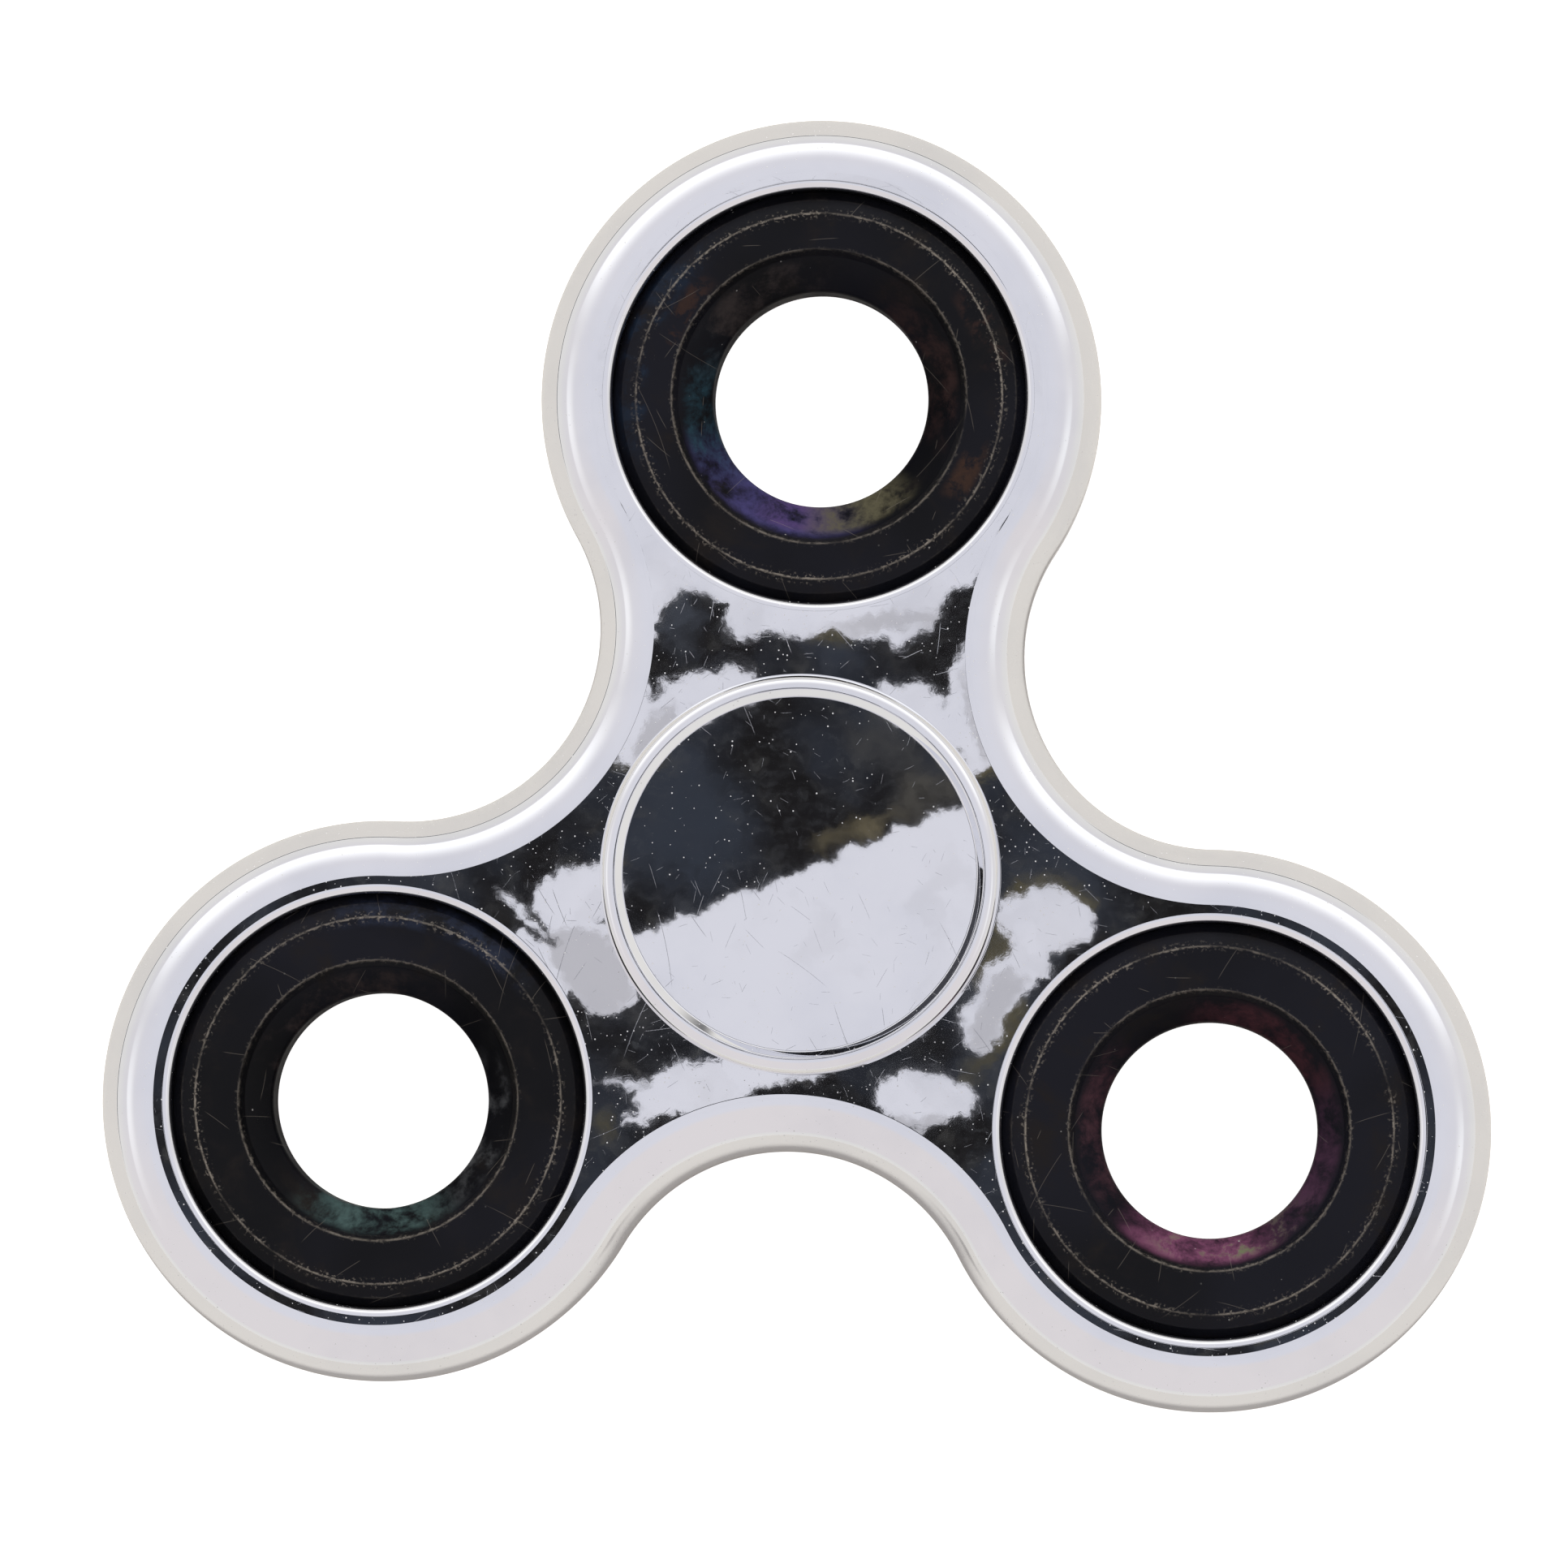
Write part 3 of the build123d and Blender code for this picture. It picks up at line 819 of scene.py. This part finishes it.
def makeWeight(number):
    shape = weightShape
    wideUp = shape["wideFaceUp"][number]
    upFace, downFace = (shape["wideFace"], shape["narrowFace"])[::1 if wideUp else -1]
    inside = [(weightHole, 0.0, 0)]
    corners = inside + sideCorners(upFace, 1) + sideCorners(downFace, -1)[::-1] + inside
    radii = (shape["faceEdge"], upFace, shape["faceEdge"] + shape["shoulderWidth"])
    edges = [{"radius": radius, **look} for radius, look in zip(radii, wornEdges)]
    finish = makeBlackOxide(f"blackOxide{number + 1}", lobeCentres[number], edges, heatTintsAndSheen[number])
    piece = latheObject(f"ringWeight{number + 1}", roundedProfile(corners), lobeCentres[number],
                        shape["turns"], finish, shape["sharpAbove"])
    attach(piece, "rotor")
    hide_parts(weightNodes[number])
    return piece


ringWeights = [makeWeight(number) for number in range(len(weightNodes))]
print("ring weights:", sum(len(piece.data.polygons) for piece in ringWeights), "faces")


# the finger caps

capShape = {
    "edgeRound": 0.75 * millimetre,
    "rimWidth": 0.85 * millimetre,
    "slopeWidth": 0.35 * millimetre,
    "dishDepth": 0.35 * millimetre,
    "clearance": 0.35 * millimetre,
    "boss": 5.6 * millimetre,
    "stem": 3.98 * millimetre,
    "socket": 2.48 * millimetre,
    "stemEnd": 0.15 * millimetre,
    "socketTop": 4.65 * millimetre,
    "postTop": 4.25 * millimetre,
    "postChamfer": 0.3 * millimetre,
    "fieldRound": 0.07 * millimetre,
    "slopeRound": 0.06 * millimetre,
    "underRound": 0.1 * millimetre,
    "turns": 288,
}


def makeCap(name, node, side, finish):
    shape = capShape
    field = capRadius - shape["rimWidth"] - shape["slopeWidth"]
    under = bodyHalf + shape["clearance"]
    corners = [
        (0.0, capTop - shape["dishDepth"], 0),
        (field, capTop - shape["dishDepth"], shape["fieldRound"]),
        (capRadius - shape["rimWidth"], capTop, shape["slopeRound"]),
        (capRadius, capTop, shape["edgeRound"]),
        (capRadius, under, shape["underRound"]),
        (shape["boss"], under, 0),
        (shape["boss"], bearingHalf, 0),
        (shape["stem"], bearingHalf, 0),
        (shape["stem"], shape["stemEnd"], 0),
        (shape["socket"], shape["stemEnd"], 0),
    ]
    if side > 0:
        corners += [(shape["socket"], shape["socketTop"], 0), (0.0, shape["socketTop"], 0)]
    else:
        corners += [(shape["socket"], shape["postChamfer"] - shape["postTop"], 0),
                    (shape["socket"] - shape["postChamfer"], -shape["postTop"], 0),
                    (0.0, -shape["postTop"], 0)]
    profile = roundedProfile(corners)
    if side < 0:
        profile = [Vector((point.x, -point.y)) for point in reversed(profile)]
    piece = latheObject(name, profile[::-1], (0.0, 0.0, 0.0), shape["turns"], finish)
    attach(piece, "hub")
    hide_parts(node)
    return piece


capChrome = makeChrome("capChrome", ripple=0.6, dust=0.34, scratches=0.2)
fingerCaps = [makeCap("fingerCapUpper", "cap_upper", 1, capChrome),
              makeCap("fingerCapLower", "cap_lower", -1, capChrome)]
print("finger caps:", sum(len(piece.data.polygons) for piece in fingerCaps), "faces")


# the bearing keeps its own shapes and gets its finishes

bearingFinishes = {
    "bearing_outer_ring": makeSteel("groundRingSteel", (0.62, 0.62, 0.63), 0.16, linesAcross=1.0),
    "bearing_inner_ring": makeSteel("groundRingSteelInner", (0.62, 0.62, 0.63), 0.16, linesAcross=1.0),
    "ball": makeSteel("polishedBallSteel", (0.74, 0.74, 0.75), 0.05, grain=0.2),
    "cage": makeSteel("pressedCageSteel", (0.56, 0.55, 0.52), 0.3, grain=2.0),
    "shield": makeSteel("pressedShieldSteel", (0.58, 0.58, 0.58), 0.26, linesAcross=0.6, grain=1.5),
}
for node, piece in frame["nodes"].items():
    for start, finish in bearingFinishes.items():
        if node.startswith(start):
            piece.data.materials.clear()
            piece.data.materials.append(finish)
print("bearing finished")


# floor, light and camera

stageLook = {
    "floorColor": (0.90, 0.87, 0.80),
    "floorGlow": 0.95,
    "floorSize": 6.0,
    "skyStrength": 1.0,
    "ambient": 0.60,
    "keyStrength": 1.8,
    "keyWidth": 18.0,
    "keyHeight": 38.0,
}


def makeFloor():
    half = stageLook["floorSize"] / 2
    level = cadLow.z
    floor = meshObject("paleFloor", [(-half, -half, level), (half, -half, level), (half, half, level),
                                     (-half, half, level)], [], [(0, 1, 2, 3)])
    material = bpy.data.materials.new("paleFloor")
    material.use_nodes = True
    tree = material.node_tree
    tree.nodes.clear()
    output = addNode(tree, "ShaderNodeOutputMaterial")
    matte = addNode(tree, "ShaderNodeBsdfDiffuse", {"Color": stageLook["floorColor"]})
    glow = addNode(tree, "ShaderNodeEmission", {"Color": (1.0, 1.0, 1.0)})
    seen = addNode(tree, "ShaderNodeLightPath").outputs["Is Camera Ray"]
    plug(tree, times(tree, seen, stageLook["floorGlow"]), glow.inputs["Strength"])
    both = addNode(tree, "ShaderNodeAddShader")
    tree.links.new(matte.outputs[0], both.inputs[0])
    tree.links.new(glow.outputs[0], both.inputs[1])
    tree.links.new(both.outputs[0], output.inputs["Surface"])
    floor.data.materials.append(material)


# dark and pale shapes hung high overhead, in millimetres on a sheet level with the lens. Each has its
# middle, half size and turn, and some are cut off along a line (its direction outwards and its distance
# from the centre of the sheet). Later shapes lie over earlier ones. Tints colour spots of the dark, and
# dull spots dim the pale.
overhead = {
    "distance": 500.0,
    "shift": (22.2, -14.2),
    "ragged": 1.1,
    "frayed": 0.5,
    "night": (0.0115, 0.0108, 0.0115),
    "coolNight": (0.034, 0.039, 0.052),
    "streaks": (0.075, 0.078, 0.085),
    "streakTurn": -35.0,
    "smudges": (0.085, 0.083, 0.080),
    "border": (0.085, 0.074, 0.045),
    "dulling": (0.72, 0.71, 0.70),
    "shapes": [
        ("dark", (0.0, -8.8), (47.0, 21.7), 0.0),
        ("dark", (-6.4, 13.3), (1.9, 1.8), 0.0),
        ("dark", (8.6, 15.3), (3.8, 0.9), 50.0),
        ("dark", (7.0, 13.1), (2.0, 0.9), 25.0),
        ("pale", (8.9, 9.4), (1.5, 3.5), 5.0),
        ("pale", (6.0, 8.9), (2.8, 1.3), -35.0),
        ("pale", (-5.6, 9.4), (2.9, 1.3), 20.0),
        ("pale", (-8.9, 8.0), (1.4, 2.4), -25.0),
        ("dark", (-8.3, 10.9), (0.4, 1.8), 0.0),
        ("pale", (-12.2, -1.5), (2.7, 1.5), 24.0),
        ("pale", (-11.4, -4.9), (3.1, 2.1), -45.0),
        ("pale", (-13.1, -4.7), (2.5, 1.5), -48.0),
        ("dark", (-14.7, -2.7), (2.1, 0.6), -42.0),
        ("pale", (-14.9, -2.5), (1.9, 0.22), -42.0),
        ("pale", (-5.2, -11.5), (3.4, 1.4), 14.0),
        ("pale", (-1.4, -10.8), (3.3, 0.6), 9.0),
        ("pale", (-7.4, -13.0), (1.6, 0.4), 25.0),
        ("pale", (-9.4, -11.6), (1.3, 0.2), 0.0),
        ("pale", (12.8, -1.9), (2.5, 1.6), -8.0),
        ("pale", (10.4, -6.3), (1.4, 3.2), -28.0),
        ("pale", (12.1, -4.1), (1.3, 1.2), 0.0),
        ("pale", (6.9, -11.7), (2.5, 1.5), -8.0),
        ("dark", (0.0, 25.5), (11.3, 11.3), 0.0, 125.0, 24.0),
        ("dark", (0.0, 0.0), (9.9, 9.9), 0.0),
        ("pale", (0.0, 0.0), (9.9, 9.9), 0.0, -67.2, -0.55),
        ("pale", (22.2, -14.2), (9.6, 9.4), 0.0, -55.0, 22.0),
    ],
    "tints": [
        ((-6.0, 2.0), (4.0, 5.5), 0.0, (0.034, 0.040, 0.054)),
        ((2.8, 2.7), (3.3, 0.9), 23.0, (0.120, 0.102, 0.066)),
        ((6.2, 4.6), (2.4, 2.0), 30.0, (0.070, 0.066, 0.060)),
        ((4.0, 7.0), (3.4, 1.6), -30.0, (0.050, 0.050, 0.052)),
        ((-7.0, 13.2), (2.6, 1.6), 80.0, (0.050, 0.055, 0.068)),
        ((-8.0, -7.5), (1.2, 1.8), -40.0, (0.050, 0.050, 0.052)),
    ],
    "dull": [
        ((-11.4, -5.2), (2.8, 1.7), -45.0),
        ((10.3, -6.8), (1.0, 2.6), -28.0),
        ((9.0, 8.8), (0.5, 2.6), 15.0),
        ((4.6, 13.9), (3.6, 0.45), 10.0),
        ((-5.0, 8.9), (2.6, 0.5), 25.0),
        ((-8.3, 7.4), (0.6, 1.6), -25.0),
        ((14.6, -3.4), (1.4, 0.5), 30.0),
        ((6.8, -12.9), (1.7, 0.35), -5.0),
    ],
}
# colour of the pale tent from the horizon to straight up
tentColors = [(0.0, (0.83, 0.81, 0.78)), (0.12, (0.80, 0.785, 0.77)), (0.40, (0.76, 0.74, 0.76)),
              (0.60, (0.78, 0.765, 0.79)), (0.80, (0.745, 0.735, 0.785)), (1.0, (0.735, 0.735, 0.80))]
# lamps and dim sides of the studio: each faces one way round, and comes in and fades out again between
# four heights (1 is straight up)
panels = [
    {"angle": 90, "spread": 62, "up": (0.35, 0.41, 0.48, 0.87), "fade": 0.22, "color": (1.27, 1.27, 1.29)},
    {"angle": 205, "spread": 34, "up": (0.43, 0.49, 0.54, 0.72), "fade": 0.12, "color": (1.0, 0.99, 1.01)},
    {"angle": 330, "spread": 34, "up": (0.47, 0.53, 0.58, 0.76), "fade": 0.12, "color": (1.0, 1.0, 1.02)},
    {"angle": 270, "spread": 75, "up": (0.11, 0.17, 0.90, 0.96), "fade": 0.3, "color": (0.775, 0.735, 0.745)},
    {"angle": 125, "spread": 66, "up": (0.012, 0.018, 0.036, 0.042), "fade": 0.12,
     "color": (0.06, 0.06, 0.07)},
]


def sheetSpot(tree, sheet, place, size, turn):
    # how far inside an oval a spot on the sheet lies
    local = addNode(tree, "ShaderNodeMapping", {
        "Vector": sheet, "Location": (*place, 0.0), "Rotation": (0.0, 0.0, math.radians(turn)),
        "Scale": (*size, 1.0)}, vector_type="TEXTURE").outputs[0]
    return times(tree, calc(tree, "SUBTRACT", 1.0, vectorCalc(tree, "LENGTH", local)), min(size))


def overheadLevel(tree, sheet):
    # how far inside the pale area a spot on the sheet lies, negative in the dark
    level = 100.0
    for kind, place, size, turn, *cut in overhead["shapes"]:
        inside = sheetSpot(tree, sheet, place, size, turn)
        if cut:
            angle = math.radians(cut[0])
            past = vectorCalc(tree, "DOT_PRODUCT", sheet, (math.cos(angle), math.sin(angle), 0.0))
            inside = calc(tree, "MINIMUM", inside, calc(tree, "SUBTRACT", past, cut[1]))
        if kind == "dark":
            level = calc(tree, "MINIMUM", level, times(tree, inside, -1.0))
        else:
            level = calc(tree, "MAXIMUM", level, inside)
    return level


def daySky(tree, direction, up):
    # the pale tent with its lamps and dim sides
    day = colorStops(tree, up, tentColors)
    around = vectorCalc(tree, "NORMALIZE", levelled(tree, direction))
    for panel in panels:
        angle = math.radians(panel["angle"])
        facing = vectorCalc(tree, "DOT_PRODUCT", around, (math.cos(angle), math.sin(angle), 0.0))
        edge = math.cos(math.radians(panel["spread"]))
        beside = ramp(tree, facing, edge - panel["fade"], edge + panel["fade"])
        above = ramp(tree, up, panel["up"][0], panel["up"][1])
        below = ramp(tree, up, panel["up"][2], panel["up"][3], 1.0, 0.0)
        day = blendColor(tree, times(tree, above, below, beside), day, panel["color"])
    return day


def makeSky():
    world = bpy.data.worlds.new("softStudio")
    scene.world = world
    world.use_nodes = True
    tree = world.node_tree
    tree.nodes.clear()
    direction = addNode(tree, "ShaderNodeTexCoord").outputs["Generated"]
    up = addNode(tree, "ShaderNodeSeparateXYZ", {"Vector": direction}).outputs["Z"]
    sheet = vectorCalc(tree, "SCALE", direction, scale=calc(tree, "DIVIDE", overhead["distance"],
                                                            calc(tree, "MAXIMUM", up, 0.05)))
    sheet = vectorCalc(tree, "ADD", levelled(tree, sheet), (*overhead["shift"], 0.0))
    for scale, reach in ((0.5, overhead["ragged"]), (2.6, overhead["frayed"])):
        wander = addNode(tree, "ShaderNodeTexNoise", {"Vector": sheet, "Scale": scale, "Detail": 2.0,
                                                      "Roughness": 0.6}).outputs["Color"]
        drift = levelled(tree, vectorCalc(tree, "SUBTRACT", wander, (0.5, 0.5, 0.5)))
        sheet = vectorCalc(tree, "ADD", sheet, vectorCalc(tree, "SCALE", drift, scale=2.0 * reach))
    level = overheadLevel(tree, sheet)
    cool = noise(tree, sheet, 0.12, 2.0, 0.5)
    night = blendColor(tree, ramp(tree, cool, 0.42, 0.64), overhead["night"], overhead["coolNight"])
    combed = addNode(tree, "ShaderNodeMapping", {
        "Vector": sheet, "Rotation": (0.0, 0.0, math.radians(overhead["streakTurn"])),
        "Scale": (0.8, 6.5, 1.0)}).outputs[0]
    streaks = times(tree, ramp(tree, noise(tree, combed, 1.0, 3.0, 0.6, 0.6), 0.48, 0.76), 0.6)
    night = blendColor(tree, streaks, night, overhead["streaks"])
    smudge = noise(tree, sheet, 0.6, 4.0, 0.65)
    night = blendColor(tree, ramp(tree, smudge, 0.52, 0.85), night, overhead["smudges"])
    border = times(tree, ramp(tree, level, -1.0, -0.1), ramp(tree, cool, 0.55, 0.62))
    night = blendColor(tree, border, night, overhead["border"])
    smudged = ramp(tree, smudge, 0.35, 0.6, 0.45, 1.0)
    for place, size, turn, color in overhead["tints"]:
        inSpot = ramp(tree, sheetSpot(tree, sheet, place, size, turn), 0.0, 0.7 * min(size))
        night = blendColor(tree, times(tree, inSpot, smudged), night, color)
    day = daySky(tree, direction, up)
    dull = -1.0
    for place, size, turn in overhead["dull"]:
        dull = calc(tree, "MAXIMUM", dull, sheetSpot(tree, sheet, place, size, turn))
    patch = ramp(tree, noise(tree, sheet, 0.22, 3.0, 0.6, 0.8), 0.5, 0.7, 0.0, 0.25)
    patch = times(tree, patch, ramp(tree, up, 0.97, 0.985))
    dulled = blendColor(tree, 1.0, day, overhead["dulling"], "MULTIPLY")
    dayOver = blendColor(tree, calc(tree, "MAXIMUM", ramp(tree, dull, -0.2, 0.2), patch), day, dulled)
    whole = blendColor(tree, ramp(tree, level, -0.05, 0.05), night, dayOver)
    paths = addNode(tree, "ShaderNodeLightPath")
    soft = vectorCalc(tree, "SCALE", day, scale=stageLook["ambient"])
    plain = blendColor(tree, paths.outputs["Is Camera Ray"], soft, (1.0, 1.0, 1.0))
    strength = stageLook["skyStrength"]
    mirrored = addNode(tree, "ShaderNodeBackground", {"Color": whole, "Strength": strength})
    lit = addNode(tree, "ShaderNodeBackground", {"Color": plain, "Strength": strength})
    both = addNode(tree, "ShaderNodeMixShader")
    tree.links.new(paths.outputs["Is Glossy Ray"], both.inputs[0])
    tree.links.new(lit.outputs[0], both.inputs[1])
    tree.links.new(mirrored.outputs[0], both.inputs[2])
    output = addNode(tree, "ShaderNodeOutputWorld")
    tree.links.new(both.outputs[0], output.inputs["Surface"])


cameraPlace = {
    "position": (22.2 * millimetre, -14.2 * millimetre, 500.0 * millimetre),
    "turn": (2.286, 2.605, 2.086),
    "lens": 215.1,
    "sensor": 36.0,
}


def makeCamera():
    data = bpy.data.cameras.new("camera")
    data.lens = cameraPlace["lens"]
    data.sensor_width = cameraPlace["sensor"]
    data.clip_start = 0.01
    camera = bpy.data.objects.new("camera", data)
    camera.location = cameraPlace["position"]
    camera.rotation_euler = [math.radians(angle) for angle in cameraPlace["turn"]]
    scene.collection.objects.link(camera)
    scene.camera = camera


def makeKeyLamp():
    # a broad lamp from behind, which the plating mirrors as the bright panel of the sky
    data = bpy.data.lights.new("keyLamp", "SUN")
    data.energy = stageLook["keyStrength"]
    data.angle = math.radians(stageLook["keyWidth"])
    lamp = bpy.data.objects.new("keyLamp", data)
    lamp.rotation_euler = (math.radians(stageLook["keyHeight"] - 90), 0.0, 0.0)
    lamp.visible_glossy = False
    scene.collection.objects.link(lamp)


makeFloor()
makeSky()
makeKeyLamp()
makeCamera()
scene.view_settings.view_transform = "Standard"
print("stage set")
